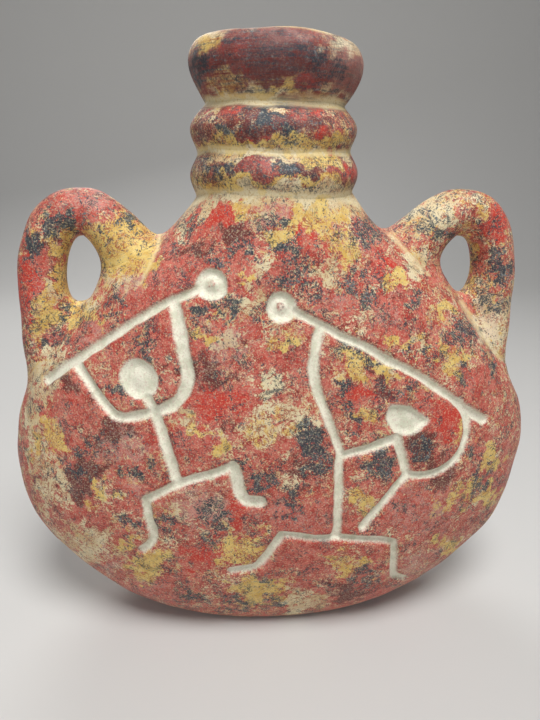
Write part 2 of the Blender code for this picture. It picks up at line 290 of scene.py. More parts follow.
def uneven(points, wavelength, size, seeds):
    """A move in each direction by waves of one length."""
    return size * np.stack([plane_waves(points, wavelength, seed) for seed in seeds], axis=-1)


def hand_shaped(points):
    """Moves points as hands press clay a little out of true. The foot stays flat.

    Slow and quick waves in every direction, the neck's lean to the left and the drop of the pressed places.
    """
    height = points[..., 2:3]
    at_mouth = np.clip((height - HALF_WAVES_START) / HALF_WAVES_REACH, 0.0, 1.0)
    free = np.clip(height / FULL_WAVES_HEIGHT, 0.0, 1.0) * (1.0 - 0.5 * at_mouth)
    from_axis = np.hypot(points[..., 0:1], points[..., 1:2])
    leaning = np.clip((LEAN_END - from_axis) / LEAN_FADE, 0.0, 1.0)
    lean = neck_lean(height) * leaning * np.array([1.0, 0.0, 0.0])
    sunk = pressed_down(points)[..., None] * np.array([0.0, 0.0, 1.0])
    return points + free * (uneven(points, *SLOW_WAVES) + uneven(points, *QUICK_WAVES)) + lean - sunk


# Incised figures

# Lines, as the half width of each and its (x, height) points in millimetres on the front
LINES = {
    "spear": (1.8, [(-133, 178), (-95, 207), (-45, 236)]),
    "spear_raised_arm": (2.9, [(-57, 226), (-50, 197), (-49, 187), (-55, 177), (-69, 169)]),
    "spear_bent_arm": (2.4, [(-113, 189), (-93, 165), (-86, 164), (-70, 169)]),
    "spear_trunk": (2.7, [(-72, 177), (-67, 163), (-59, 130)]),
    "spear_hips": (2.2, [(-76, 115), (-59, 125), (-29, 138)]),
    "spear_left_leg": (2.1, [(-77, 115), (-74, 91), (-76, 84), (-82, 78)]),
    "spear_right_leg": (3.0, [(-27, 139), (-24, 124), (-21, 116), (-12, 115)]),
    "staff": (1.9, [(8, 225), (31, 212), (65, 194), (86, 182), (105, 168), (125, 154)]),
    "bow_raised_arm": (2.3, [(21, 215), (17, 194), (18, 186), (23, 170), (34, 145)]),
    "bow_trunk": (2.0, [(34, 144), (34, 87)]),
    "bow_shoulders": (2.1, [(35, 142), (68, 152)]),
    "bow_throat": (2.2, [(68, 152), (74, 130)]),
    "bow": (2.2, [(105, 169), (111, 161), (113, 150), (108, 135), (96, 128), (84, 126), (74, 128)]),
    "bow_string": (2.2, [(74, 127), (50, 91)]),
    "bow_hips": (1.9, [(2, 91), (49, 83), (71, 77)]),
    "bow_left_leg": (2.3, [(2, 90), (-7, 73), (-14, 63), (-29, 61)]),
    "bow_right_leg": (2.2, [(72, 75), (74, 55), (77, 43), (86, 38)]),
}
# Pressed discs, as the middle, half width, half height and how far a button stands up in the middle
DISCS = {
    "spear_ball": (-39, 238, 8.0, 7.8, 1.7),
    "spear_head": (-77, 187, 10.6, 10.4, 0.9),
    "staff_ball": (0, 228, 8.0, 7.8, 1.7),
}
# The second figure's pointed head, anticlockwise
POINTED_HEAD = [(62, 172), (60, 165), (67, 155), (75, 154), (85, 161), (72, 171)]
# How the grooves are worked, in millimetres
LINE_DEPTH = 2.8
LINE_SOFT_EDGE = 0.6
DISC_DEPTH = 2.9
HEAD_DEPTH = 2.5
HEAD_EDGE = 0.3
HEAD_SOFT_EDGE = 0.4
HEAD_PAINT_EDGE = 0.6
CORNER_ROUNDING = 1.3
EDGE_WOBBLE = 0.22
# The length in metres and the seed of the waves in the edges
WOBBLE_LENGTH = 0.014
WOBBLE_SEED = 55
# How often a line's corners are cut, and how much of each stretch a cut takes
CORNER_CUTS = 3
CORNER_CUT = 0.2
# The distances in millimetres that the pointed head's soft maximum takes in
HEAD_RANGE = (-20.0, 40.0)
# A button's width as a share of its disc's, from what height paint comes back on it, and how strongly
BUTTON_SHARE = 0.45
LOW_BUTTON = 0.9
BUTTON_PAINT = 1.18
# What stands for no line near, in metres
FAR_FROM_LINES = 0.03


def segment_distance(x, z, start, end):
    """Distance of each point to one straight stroke, in the points' own units."""
    run = np.array(end, float) - np.array(start, float)
    share = ((x - start[0]) * run[0] + (z - start[1]) * run[1]) / (run @ run)
    share = np.clip(share, 0.0, 1.0)
    return np.hypot(x - start[0] - share * run[0], z - start[1] - share * run[1])


def round_route(points):
    """A drawn line with its corners cut off a few times, so that it bends as a hand draws."""
    route = np.array(points, float)
    for _ in range(CORNER_CUTS):
        nearer = (1 - CORNER_CUT) * route[:-1] + CORNER_CUT * route[1:]
        further = CORNER_CUT * route[:-1] + (1 - CORNER_CUT) * route[1:]
        middle = np.stack([nearer, further], axis=1).reshape(-1, 2)
        route = np.concatenate([route[:1], middle[1:-1], route[-1:]])
    return route


def wedge_distance(x, z, corners):
    """How far each point of the front is outside a figure with straight sides, less than 0 inside it.

    A soft maximum of the distances to its sides, which rounds the corners.
    """
    total = np.zeros(x.shape)
    for start, end in zip(corners, corners[1:] + corners[:1]):
        run = np.array(end, float) - np.array(start, float)
        inwards = run[0] * (z - start[1]) - run[1] * (x - start[0])
        total += np.exp(np.clip(-inwards / np.hypot(*run), *HEAD_RANGE) / CORNER_ROUNDING)
    return CORNER_ROUNDING * np.log(total)


def figure_fields(points):
    """How deep the figures go at each point and how far it is outside their edges, both in metres.

    A line's depth is exp(-r^4) of the distance from it, and a disc's exp(-r^7) less its button, exp(-r^3).
    """
    x = points[..., 0] * 1000
    z = points[..., 2] * 1000
    wobble = EDGE_WOBBLE * plane_waves(points, WOBBLE_LENGTH, WOBBLE_SEED)
    depth = np.zeros(x.shape)
    outside = np.full(x.shape, FAR_FROM_LINES * 1000)
    for half_width, drawn in LINES.values():
        route = round_route(drawn)
        near = np.full(x.shape, np.inf)
        for start, end in zip(route[:-1], route[1:]):
            near = np.minimum(near, segment_distance(x, z, start, end))
        near = near + wobble
        scooped = LINE_DEPTH * np.exp(-((np.maximum(near, 0.0) / (half_width + LINE_SOFT_EDGE)) ** 4))
        depth = np.maximum(depth, scooped)
        outside = np.minimum(outside, near - half_width)
    for middle_x, middle_z, half_width, half_height, button in DISCS.values():
        reach = np.hypot((x - middle_x) / half_width, (z - middle_z) / half_height)
        raised = np.exp(-((reach / BUTTON_SHARE) ** 3))
        depth = np.maximum(depth, DISC_DEPTH * np.exp(-(reach**7)) - button * raised)
        edge = (reach - 1.0) * half_width + wobble
        painted = (button - LOW_BUTTON) * BUTTON_PAINT * half_width * raised
        outside = np.minimum(outside, edge + painted)
    head = wedge_distance(x, z, POINTED_HEAD) + wobble
    depth = np.maximum(depth, HEAD_DEPTH / (1.0 + np.exp((head - HEAD_EDGE) / HEAD_SOFT_EDGE)))
    outside = np.minimum(outside, head - HEAD_PAINT_EDGE)
    return depth / 1000, outside / 1000


# Meshes

def grid_normals(grid):
    """Unit normals of a grid surface, rows by columns, from its own differences."""
    across = np.gradient(grid, axis=1)
    along = np.gradient(grid, axis=0)
    normal = np.cross(across, along)
    return normal / np.maximum(np.linalg.norm(normal, axis=-1, keepdims=True), 1e-12)


def capped_faces(rows, columns):
    """Quads between closed loops, one loop after the other, and a cap on the first and the last loop."""
    here = np.arange(rows - 1)[:, None] * columns
    there = here + columns
    column = np.arange(columns)[None, :]
    after = (column + 1) % columns
    corners = [here + column, here + after, there + after, there + column]
    first = list(range(columns))[::-1]
    last = list(range((rows - 1) * columns, rows * columns))
    return np.stack(corners, axis=-1).reshape(-1, 4).tolist() + [first, last]


def ringed_faces(rows, columns):
    """Quads between closed loops, of which the last joins the first."""
    here = np.arange(rows)[:, None] * columns
    there = (here + columns) % (rows * columns)
    column = np.arange(columns)[None, :]
    after = (column + 1) % columns
    corners = [here + column, there + column, there + after, here + after]
    return np.stack(corners, axis=-1).reshape(-1, 4).tolist()


def open_faces(rows, columns):
    """Quads of a grid that is open on all sides."""
    index = np.arange(rows * columns).reshape(rows, columns)
    corners = [index[:-1, :-1], index[:-1, 1:], index[1:, 1:], index[1:, :-1]]
    return np.stack(corners, axis=-1).reshape(-1, 4).tolist()


def make_piece(name, loops, make_faces, material, fields):
    """A smooth mesh through loops of points, rows by columns, with its paint fields as attributes."""
    faces = make_faces(*loops.shape[:2])
    mesh = bpy.data.meshes.new(name)
    mesh.from_pydata(loops.reshape(-1, 3).tolist(), [], faces)
    mesh.polygons.foreach_set("use_smooth", np.ones(len(faces), bool))
    mesh.update()
    for label, values in fields.items():
        attribute = mesh.attributes.new(label, "FLOAT_COLOR", "POINT")
        attribute.data.foreach_set("color", values.reshape(-1).astype(np.float32))
    mesh.materials.append(material)
    piece = bpy.data.objects.new(name, mesh)
    bpy.context.scene.collection.objects.link(piece)
    mesh.set_sharp_from_angle(angle=SHARP_ANGLE)
    return piece


def turned_loops(profile, turns):
    """Loops of a closed profile of (radius, height) points turned round Z: one loop for each angle."""
    angle = np.linspace(0.0, 2 * math.pi, turns, endpoint=False)
    radius = profile[:, 0][None, :]
    height = profile[:, 1][None, :]
    x = np.cos(angle)[:, None] * radius
    y = np.sin(angle)[:, None] * radius
    return np.stack(np.broadcast_arrays(x, y, height), axis=-1)


# Paint

# Dabs of each colour, as the middle, half width and half height of an oval seen from the photograph's
# viewpoint, in its pixels, and how strongly the colour lies there where that isn't 1. A few ochre dabs
# along the neck rings' undersides are painted shade
DABS = {
    "charcoal": [
        (282, 220, 10, 4), (366, 228, 14, 14), (290, 254, 16, 12, 1.2), (298, 268, 14, 8),
        (298, 282, 12, 7), (188, 226, 10, 12, 0.7), (180, 242, 6, 10, 0.7), (210, 257, 9, 7),
        (248, 252, 10, 7), (208, 312, 12, 12, 1.2), (228, 306, 8, 6), (268, 319, 6, 4), (314, 296, 8, 8),
        (366, 298, 16, 8), (354, 280, 14, 8), (413, 296, 7, 6), (464, 332, 10, 14), (486, 364, 4, 9),
        (464, 375, 6, 5), (412, 356, 10, 8), (418, 345, 4, 7), (348, 352, 10, 8), (372, 362, 10, 6),
        (404, 388, 12, 8), (346, 388, 8, 6), (348, 408, 8, 10), (356, 422, 4, 10), (426, 452, 12, 7),
        (476, 464, 9, 10), (476, 476, 9, 14, 1.2), (475, 484, 8, 8), (312, 438, 13, 16, 1.4),
        (302, 422, 8, 8), (318, 466, 12, 10, 1.2), (382, 460, 15, 13, 1.3), (382, 474, 13, 10, 1.2),
        (262, 482, 8, 10), (293, 492, 9, 7), (297, 507, 7, 6), (362, 578, 12, 7), (276, 604, 10, 6),
        (262, 580, 10, 6), (68, 314, 5, 6, 0.8), (53, 342, 9, 9), (107, 316, 5, 5, 0.8), (140, 332, 7, 6),
        (142, 348, 6, 6), (116, 390, 7, 8), (87, 443, 6, 6), (78, 448, 4, 8), (74, 472, 8, 7),
        (93, 468, 5, 6), (102, 442, 10, 10, 0.7), (138, 470, 10, 8), (128, 520, 10, 8), (168, 526, 6, 7),
        (213, 514, 10, 16, 0.9), (212, 538, 10, 6), (194, 598, 14, 7), (236, 608, 14, 6),
        (242, 464, 6, 6), (258, 486, 10, 10), (60, 224, 14, 7), (33, 244, 10, 12), (134, 224, 8, 6),
        (104, 237, 5, 3), (120, 302, 5, 5), (444, 236, 8, 7), (476, 226, 6, 5), (504, 250, 7, 6),
        (498, 268, 8, 14), (490, 298, 12, 14, 0.6), (446, 238, 10, 7), (426, 215, 20, 9, 0.5),
        (198, 68, 10, 13, 0.8), (316, 62, 12, 14, 0.65), (304, 46, 18, 7, 0.3), (222, 170, 14, 7, 0.8),
        (270, 116, 14, 7), (224, 134, 5, 6), (284, 134, 10, 7), (290, 168, 13, 8), (336, 76, 10, 10, 0.5),
        (240, 38, 16, 5, 0.5),
    ],
    "ochre": [
        (240, 208, 10, 7), (318, 219, 26, 15, 1.2), (298, 226, 12, 10), (344, 252, 12, 14),
        (286, 236, 8, 8), (240, 280, 8, 5), (394, 278, 8, 10), (84, 320, 10, 14), (469, 265, 6, 22),
        (54, 438, 12, 18), (198, 426, 10, 6), (216, 444, 8, 6), (260, 436, 16, 10, 0.5), (202, 336, 8, 6),
        (102, 486, 8, 16), (240, 544, 18, 14, 0.8), (228, 558, 10, 6), (150, 566, 14, 10),
        (126, 540, 8, 6), (250, 588, 20, 10), (362, 503, 10, 7), (434, 508, 8, 10), (450, 500, 8, 8),
        (464, 488, 7, 10), (488, 494, 8, 10), (450, 544, 8, 10), (340, 560, 10, 8), (362, 564, 8, 5),
        (270, 592, 18, 8), (448, 308, 6, 6), (452, 364, 12, 14), (406, 344, 12, 8), (354, 366, 16, 12),
        (388, 372, 8, 6), (364, 420, 6, 7), (460, 426, 5, 8), (492, 460, 8, 8), (286, 344, 10, 7),
        (280, 428, 22, 8, 0.4), (40, 313, 12, 14), (122, 242, 26, 18, 1.2), (58, 250, 6, 10),
        (474, 210, 6, 4), (208, 42, 18, 8), (276, 80, 24, 6, 0.7), (226, 82, 14, 7, 0.6),
        # The ochre dab at (270, 144) lies along the upper neck ring's underside: painted shade, an ochre
        # band standing in for the shade there
        (262, 93, 56, 4), (270, 144, 60, 4), (64, 262, 8, 24, 1.2), (82, 310, 14, 14, 0.9),
        (140, 258, 14, 22), (116, 262, 12, 20), (332, 146, 14, 5, 1.2), (320, 158, 12, 5),
        # The last three ochre dabs lie along the lower neck ring's underside: painted shade, ochre standing
        # in for the shade there
        (315, 180, 15, 4), (250, 180, 40, 4), (226, 183, 20, 4),
    ],
    "red": [
        (218, 218, 20, 16, 1.2), (310, 234, 10, 10), (180, 264, 20, 18), (170, 280, 16, 12),
        (238, 266, 10, 8), (274, 264, 10, 10), (238, 289, 14, 6), (330, 300, 14, 12), (380, 266, 10, 10),
        (90, 334, 18, 10), (150, 302, 16, 10), (158, 330, 10, 20), (76, 410, 14, 24), (150, 434, 10, 12),
        (202, 354, 12, 14), (220, 406, 24, 14, 1.2), (190, 446, 16, 14), (132, 455, 5, 4),
        (88, 520, 12, 10), (114, 534, 10, 7), (128, 498, 10, 6), (202, 556, 14, 12, 1.2),
        (238, 514, 12, 12, 1.2), (242, 530, 8, 8), (150, 590, 24, 8), (172, 580, 14, 8),
        (295, 517, 40, 17), (420, 510, 30, 20), (494, 482, 8, 10), (304, 560, 26, 14), (374, 592, 12, 7),
        (390, 302, 14, 10), (398, 328, 14, 12), (476, 384, 10, 8), (368, 392, 16, 10, 1.2),
        (444, 418, 16, 14, 1.2), (286, 360, 20, 14), (282, 446, 18, 10), (76, 204, 30, 12),
        (88, 218, 16, 8), (46, 250, 8, 12), (24, 284, 8, 40), (158, 276, 12, 14), (458, 216, 8, 8),
        (496, 222, 12, 12), (482, 250, 6, 6), (238, 110, 16, 6), (302, 112, 12, 6), (248, 134, 10, 8),
        (328, 136, 7, 6), (258, 170, 16, 9), (345, 170, 14, 8), (244, 74, 9, 7), (306, 86, 8, 5),
        (40, 262, 8, 18),
    ],
    "bright": [
        (218, 218, 18, 14), (306, 236, 10, 10), (220, 406, 22, 12), (238, 514, 12, 14),
        (202, 556, 12, 10), (444, 418, 16, 14), (368, 392, 14, 8), (380, 266, 8, 8), (496, 222, 12, 14),
        (24, 284, 8, 36), (345, 170, 12, 7), (234, 58, 22, 16), (256, 72, 14, 8, 0.8),
        (300, 84, 16, 6, 0.6), (238, 108, 16, 6), (318, 110, 12, 5), (328, 136, 8, 6), (252, 136, 8, 6),
    ],
    "maroon": [
        (238, 234, 14, 12), (64, 384, 12, 10), (210, 376, 20, 20), (90, 466, 14, 14), (78, 490, 10, 14),
        (346, 592, 16, 7), (380, 386, 8, 8), (420, 446, 14, 10), (278, 124, 36, 8), (308, 170, 8, 7),
        (266, 60, 40, 22, 1.2), (32, 242, 8, 10), (112, 430, 12, 12), (196, 250, 10, 10, 0.7),
        (440, 470, 12, 14, 0.7), (300, 470, 12, 12, 0.7),
    ],
    "mauve": [
        (416, 562, 16, 12), (122, 448, 20, 14), (132, 490, 14, 8), (186, 506, 18, 14),
        (210, 508, 14, 18, 1.3), (228, 344, 16, 16), (268, 216, 14, 8), (330, 300, 12, 10, 0.8),
        (110, 566, 12, 8), (90, 334, 16, 8, 0.7), (378, 318, 14, 12), (360, 240, 14, 14, 0.7),
        (420, 510, 26, 18, 0.8), (295, 517, 36, 14, 0.6), (76, 204, 26, 10, 0.7), (350, 62, 16, 26, 1.3),
        (290, 32, 70, 5), (192, 56, 7, 18, 0.8), (128, 284, 12, 12), (488, 330, 14, 16),
        (486, 306, 12, 14), (100, 194, 16, 6, 0.8), (30, 300, 8, 26, 0.6), (150, 590, 22, 8, 0.6),
        (60, 420, 10, 14, 0.6),
    ],
    "cream": [
        (270, 195, 75, 8, 1.3), (196, 206, 10, 8, 1.2), (346, 206, 14, 12), (184, 216, 10, 14, 0.8),
        (246, 300, 16, 12), (326, 274, 12, 8), (260, 274, 8, 8), (186, 420, 8, 6), (40, 380, 14, 10),
        (30, 418, 6, 20), (34, 456, 6, 12), (50, 484, 14, 14), (86, 540, 26, 16, 0.75), (174, 510, 8, 8),
        (302, 600, 20, 8), (272, 378, 10, 8), (286, 412, 24, 8), (270, 434, 24, 8, 0.9),
        (290, 482, 12, 10), (122, 276, 14, 10), (50, 292, 10, 8), (462, 196, 16, 6),
        (432, 212, 24, 14, 1.4), (416, 264, 10, 10), (490, 322, 14, 20, 1.3), (484, 300, 10, 10),
        (346, 44, 18, 11, 1.2), (216, 34, 22, 5), (252, 92, 20, 6), (84, 300, 12, 7, 1.2),
        (228, 344, 12, 12, 0.6), (60, 360, 12, 8), (270, 98, 70, 5), (270, 154, 75, 4),
    ],
}
# Finger lines along the handles' joints, as the ends and the half width in the photograph's pixels
SEAM_STROKES = [
    ((160, 234), (157, 250), 3.4),
    ((157, 250), (146, 272), 3.2),
    ((146, 272), (141, 284), 2.4),
    ((391, 234), (405, 250), 4.6),
    ((405, 250), (421, 270), 4.2),
    ((461, 302), (471, 318), 4.8),
    ((471, 318), (486, 341), 4.4),
    ((486, 341), (502, 360), 3.8),
]
# The seed of each colour's patches behind the seam
PATCH_SEEDS = {"red": 81, "ochre": 82, "charcoal": 83, "cream": 84, "maroon": 85, "mauve": 86, "bright": 87}
# How the patches are laid: the lengths of their waves, what each adds to the seed and its share
PATCH_WAVES = [(0.045, 0, 0.6), (0.019, 20, 0.5)]
PATCH_START = 0.25
# How the dabs' edges wander: the lengths of the waves, then their seed and pixels across, and so down
WANDERING = [(0.018, 71, 4.5, 72, 4.0), (0.007, 73, 3.5, 74, 3.0)]
# How far past its half sizes a dab fades out
DAB_SPREAD = 1.2
# Where the back begins, over what depth the dabs give way to patches, and how far
BACK_START = 0.004
BACK_FADE = 0.030
BACK_SHARE = 0.85
# How much a dab adds to its paint, and how much it hides of a paint under it
ADDED = {"red": 0.28, "ochre": 0.36, "charcoal": 0.42, "mauve": 0.28, "maroon": 0.34, "bright": 0.42}
OCHRE_HIDES_RED = 0.38
CREAM_HIDES_RED = 0.36
CREAM_HIDES_OCHRE = 0.20
BRIGHT_HIDES_MAROON = 0.2
# How much slip lies in the finger lines, and the distance from a figure's edge that the paint can tell
SEAM_SLIP = 0.62
EDGE_RANGE = 0.012


def dabbed(column, row, dabs):
    """How much of a colour lies at each place: the strongest of soft ovals, each exp(-r^3)."""
    laid = np.zeros(column.shape)
    for middle, down, half_width, half_height, *strength in dabs:
        reach = np.hypot((column - middle) / half_width, (row - down) / half_height) / DAB_SPREAD
        laid = np.maximum(laid, (strength[0] if strength else 1.0) * np.exp(-(reach**3)))
    return laid


def seam_lines(points):
    """Where the handles' edges were smoothed into the body with a finger, from 0 to 1, on the front only.

    The strongest of soft strokes, each a bell of the distance from its middle line.
    """
    column, row = photo_place(points)
    laid = np.zeros(column.shape)
    for start, end, half_width in SEAM_STROKES:
        laid = np.maximum(laid, bell(segment_distance(column, row, start, end), half_width))
    return np.where(points[..., 1] < BACK_START, laid, 0.0)


def laid_paints(points):
    """How much of each colour lies at each point, from 0 to about 1.

    The dabs are laid from the front. On the back they fade into patches of long waves, laid by chance.
    """
    facing = points * np.array([1.0, 0.0, 1.0]) - np.abs(points) * np.array([0.0, 1.0, 0.0])
    column, row = photo_place(facing)
    for wavelength, seed_across, across, seed_down, down in WANDERING:
        column = column + across * plane_waves(points, wavelength, seed_across)
        row = row + down * plane_waves(points, wavelength, seed_down)
    known = 1.0 - BACK_SHARE * np.clip((points[..., 1] - BACK_START) / BACK_FADE, 0.0, 1.0)
    laid = {}
    for paint, seed in PATCH_SEEDS.items():
        waves = sum(share * plane_waves(points, length, seed + more) for length, more, share in PATCH_WAVES)
        patches = np.clip(waves - PATCH_START, 0.0, 1.0)
        laid[paint] = known * dabbed(column, row, DABS[paint]) + (1.0 - known) * patches
    return laid


def paint_fields(points, style, crease=0.0, outside=FAR_FROM_LINES):
    """Covers of the paints, their tints and the relief, one colour attribute each.

    A paint's share is its style's, plus what its dabs add, less what lies over it.
    """
    laid = laid_paints(points)
    hidden = np.maximum(OCHRE_HIDES_RED * laid["ochre"], CREAM_HIDES_RED * laid["cream"])
    shape = points.shape[:-1] + (4,)
    cover = np.zeros(shape)
    cover[..., 0] = style["red"] + ADDED["red"] * np.maximum(laid["red"], laid["maroon"]) - hidden
    cover[..., 1] = style["ochre"] + ADDED["ochre"] * laid["ochre"] - CREAM_HIDES_OCHRE * laid["cream"]
    cover[..., 2] = style["charcoal"] + ADDED["charcoal"] * laid["charcoal"]
    cover[..., 3] = style["mauve"] + ADDED["mauve"] * laid["mauve"]
    tint = np.zeros(shape)
    tint[..., 0] = style["maroon"] + ADDED["maroon"] * laid["maroon"] - BRIGHT_HIDES_MAROON * laid["bright"]
    tint[..., 1] = style["bright"] + ADDED["bright"] * laid["bright"]
    tint[..., 2] = style["bare"]
    relief = np.zeros(shape)
    relief[..., 0] = np.maximum(crease, SEAM_SLIP * seam_lines(points))
    relief[..., 1] = np.clip(outside / EDGE_RANGE, -1.0, 1.0) * 0.5 + 0.5
    relief[..., 2] = style["wear"]
    relief[..., 3] = style["streak"]
    fields = {"cover": cover, "tint": tint, "relief": relief}
    return {label: np.clip(values, 0.0, 1.0) for label, values in fields.items()}


# How much of each paint a kind of piece has before the dabs, and how its surface is worked
STYLES = {
    "body": {
        "red": 0.60, "ochre": 0.47, "charcoal": 0.22, "mauve": 0.32, "maroon": 0.37, "bright": 0.34,
        "bare": 0.0, "wear": 1.0, "streak": 0.0,
    },
    "mouth": {
        "red": 0.70, "ochre": 0.45, "charcoal": 0.37, "mauve": 0.24, "maroon": 0.60, "bright": 0.28,
        "bare": 0.0, "wear": 0.18, "streak": 1.0,
    },
    "ring": {
        "red": 0.57, "ochre": 0.52, "charcoal": 0.38, "mauve": 0.32, "maroon": 0.52, "bright": 0.30,
        "bare": 0.0, "wear": 0.6, "streak": 0.4,
    },
    "handle": {
        "red": 0.55, "ochre": 0.54, "charcoal": 0.29, "mauve": 0.32, "maroon": 0.40, "bright": 0.34,
        "bare": 0.0, "wear": 0.9, "streak": 0.0,
    },
    "inside": {
        "red": 0.20, "ochre": 0.30, "charcoal": 0.20, "mauve": 0.20, "maroon": 0.30, "bright": 0.20,
        "bare": 1.0, "wear": 1.0, "streak": 0.0,
    },
}


# Where in space a noise lies for each step of its seed
SEED_STEPS = (0.731, 0.377, 0.593)


class Graph:
    """Short ways to add shader nodes to one material."""

    def __init__(self, material):
        self.tree = material.node_tree
        self.coordinates = self.tree.nodes.new("ShaderNodeTexCoord").outputs["Object"]

    def link(self, source, socket):
        """Joins a socket to a socket, or sets it to a constant."""
        if isinstance(source, bpy.types.NodeSocket):
            self.tree.links.new(source, socket)
        else:
            socket.default_value = source

    def placed(self, operation, amount):
        """The Object coordinates, added to or multiplied by an amount."""
        node = self.tree.nodes.new("ShaderNodeVectorMath")
        node.operation = operation
        self.link(self.coordinates, node.inputs[0])
        node.inputs[1].default_value = amount
        return node.outputs[0]

    def noise(self, size, detail, roughness, distortion, seed=0.0, stretch=None):
        """Noise whose largest grains are about this size in metres, at its seed's place or stretched."""
        shift = tuple(seed * step for step in SEED_STEPS)
        source = self.placed("MULTIPLY", stretch) if stretch else self.placed("ADD", shift)
        node = self.tree.nodes.new("ShaderNodeTexNoise")
        self.link(source, node.inputs["Vector"])
        node.inputs["Scale"].default_value = 1.0 / size
        node.inputs["Detail"].default_value = detail
        node.inputs["Roughness"].default_value = roughness
        node.inputs["Distortion"].default_value = distortion
        return node.outputs["Fac"]

    def math(self, operation, first, second=0.0, third=0.0):
        """One arithmetic step on up to three values."""
        node = self.tree.nodes.new("ShaderNodeMath")
        node.operation = operation
        self.link(first, node.inputs[0])
        self.link(second, node.inputs[1])
        self.link(third, node.inputs[2])
        return node.outputs[0]

    def step(self, value, low, high, start=0.0, end=1.0):
        """A smooth step from start to end while the value goes from low to high."""
        node = self.tree.nodes.new("ShaderNodeMapRange")
        node.interpolation_type = "SMOOTHSTEP"
        self.link(value, node.inputs["Value"])
        self.link(low, node.inputs["From Min"])
        self.link(high, node.inputs["From Max"])
        node.inputs["To Min"].default_value = start
        node.inputs["To Max"].default_value = end
        return node.outputs["Result"]

    def mix(self, share, first, second):
        """A colour that goes from the first to the second with the share."""
        node = self.tree.nodes.new("ShaderNodeMix")
        node.data_type = "RGBA"
        self.link(share, node.inputs[0])
        self.link(first, node.inputs[6])
        self.link(second, node.inputs[7])
        return node.outputs[2]

    def blend(self, share, first, second):
        """A number that goes from the first to the second with the share."""
        node = self.tree.nodes.new("ShaderNodeMix")
        self.link(share, node.inputs[0])
        self.link(first, node.inputs[2])
        self.link(second, node.inputs[3])
        return node.outputs[0]

    def fields(self, label):
        """The three colour channels and the alpha of a painted attribute."""
        node = self.tree.nodes.new("ShaderNodeAttribute")
        node.attribute_name = label
        split = self.tree.nodes.new("ShaderNodeSeparateColor")
        self.link(node.outputs["Color"], split.inputs[0])
        return split.outputs[0], split.outputs[1], split.outputs[2], node.outputs["Alpha"]


def srgb(red, green, blue):
    """A colour given as 0 to 255 display values, in linear light and opaque."""
    shown = np.array([red, green, blue]) / 255.0
    linear = np.where(shown <= 0.04045, shown / 12.92, ((shown + 0.055) / 1.055) ** 2.4)
    return (*linear.tolist(), 1.0)


CREAM = srgb(222, 208, 170)
WHITE_CREAM = srgb(234, 231, 211)
GREY_CREAM = srgb(212, 212, 188)
TAN = srgb(200, 172, 126)
OCHRE = srgb(223, 193, 112)
DEEP_OCHRE = srgb(206, 166, 82)
RED = srgb(172, 57, 48)
BRIGHT_RED = srgb(194, 56, 44)
PINK_RED = srgb(199, 105, 91)
MAROON = srgb(104, 46, 43)
MAUVE = srgb(204, 170, 158)
CHARCOAL = srgb(42, 55, 64)
SLATE = srgb(112, 126, 130)
RUST = srgb(156, 70, 44)
BARE_CLAY = srgb(170, 128, 92)


# Noises: the size of the largest grains in metres, detail, roughness, distortion and seed
NOISES = {
    "grain": (0.0011, 2.0, 0.7, 0.0, 1.0),
    "flake": (0.0036, 4.0, 0.8, 1.0, 2.0),
    "speck": (0.0009, 2.0, 0.6, 0.0, 15.0),
    "fleck": (0.0022, 3.0, 0.7, 1.0, 16.0),
    "dust": (0.0010, 2.0, 0.6, 0.0, 17.0),
    "polish": (0.008, 4.0, 0.6, 0.0, 18.0),
}
# Brush streaks: a noise without a seed, pressed flat in height
BRUSH_NOISE = (0.030, 5.0, 0.8, 0.0)
BRUSH_STRETCH = (1.0, 1.0, 16.0)
# Paints of two shades: the noise that parts them, where it goes over from the first to the second, and both
SHADES = {
    "slip": ((0.02, 4.0, 0.6, 0.0, 4.0), 0.35, 0.65, CREAM, TAN),
    "ochre": ((0.008, 4.0, 0.7, 0.0, 5.0), 0.42, 0.62, OCHRE, DEEP_OCHRE),
    "red": ((0.007, 6.0, 0.75, 1.0, 9.0), 0.40, 0.58, RED, PINK_RED),
    "charcoal": ((0.004, 6.0, 0.8, 1.2, 21.0), 0.50, 0.66, CHARCOAL, SLATE),
    "chalk": ((0.006, 5.0, 0.7, 0.0, 20.0), 0.42, 0.62, WHITE_CREAM, GREY_CREAM),
}
# Dry-brushed layers: the size of their patches in metres and their seed, how far patches, flakes and grains
# move the cover, and half the width of the edge
LAYERS = {
    "ochre": (0.010, 6.0, 1.1, 1.0, 0.7, 0.06),
    "bright": (0.008, 10.0, 1.2, 0.5, 0.2, 0.12),
    "maroon": (0.007, 11.0, 1.3, 0.6, 0.25, 0.12),
    "red": (0.009, 12.0, 1.15, 1.1, 0.85, 0.07),
    "mauve": (0.009, 13.0, 1.1, -0.6, 1.1, 0.14),
    "charcoal": (0.006, 14.0, 1.2, -1.6, 1.6, 0.08),
}
# Thin lines: the size of their bends in metres, their seed and half width, and between what values of a
# second noise they come to show
THIN_LINES = {
    "rust": (0.008, 7.0, 0.038, 0.42, 0.54),
    "charcoal": (0.006, 19.0, 0.05, 0.53, 0.62),
}
# Detail, roughness and distortion of the noises in layers, in thin lines and where these show
LAYER_NOISE = (6.0, 0.78, 0.9)
THIN_LINE_NOISE = (4.0, 0.65, 1.6)
SHOWING_NOISE = (2.0, 0.5, 0.0)
# How much grains and patches give way to brush streaks
GRAINS_LOST = 0.6
PATCHES_LOST = 0.5
# How much of the mauve film, of charcoal and of ochre in the creases lies over what is under it
FILM_SHARE = 0.42
CHARCOAL_SHARE = 0.92
CREASE_OCHRE = 0.45
# How far charcoal brings on its flecks, and how far flakes and grains move the edges of creases and figures
FLECK_GAIN = 0.30
CREASE_FLAKES = 0.9
CREASE_GRAINS = 0.7
FIGURE_FLAKES = 0.07
FIGURE_GRAINS = 0.09
# The surface: its gloss and velvet, and how far grains and flakes stand up
GLOSS = 0.35
VELVET = 0.06
VELVET_ROUGHNESS = 0.4
VELVET_TINT = (1.0, 0.86, 0.82, 1.0)
BUMP_STRENGTH = 0.5
BUMP_HEIGHT = 0.0004
FLAKE_HEIGHT = 1.4


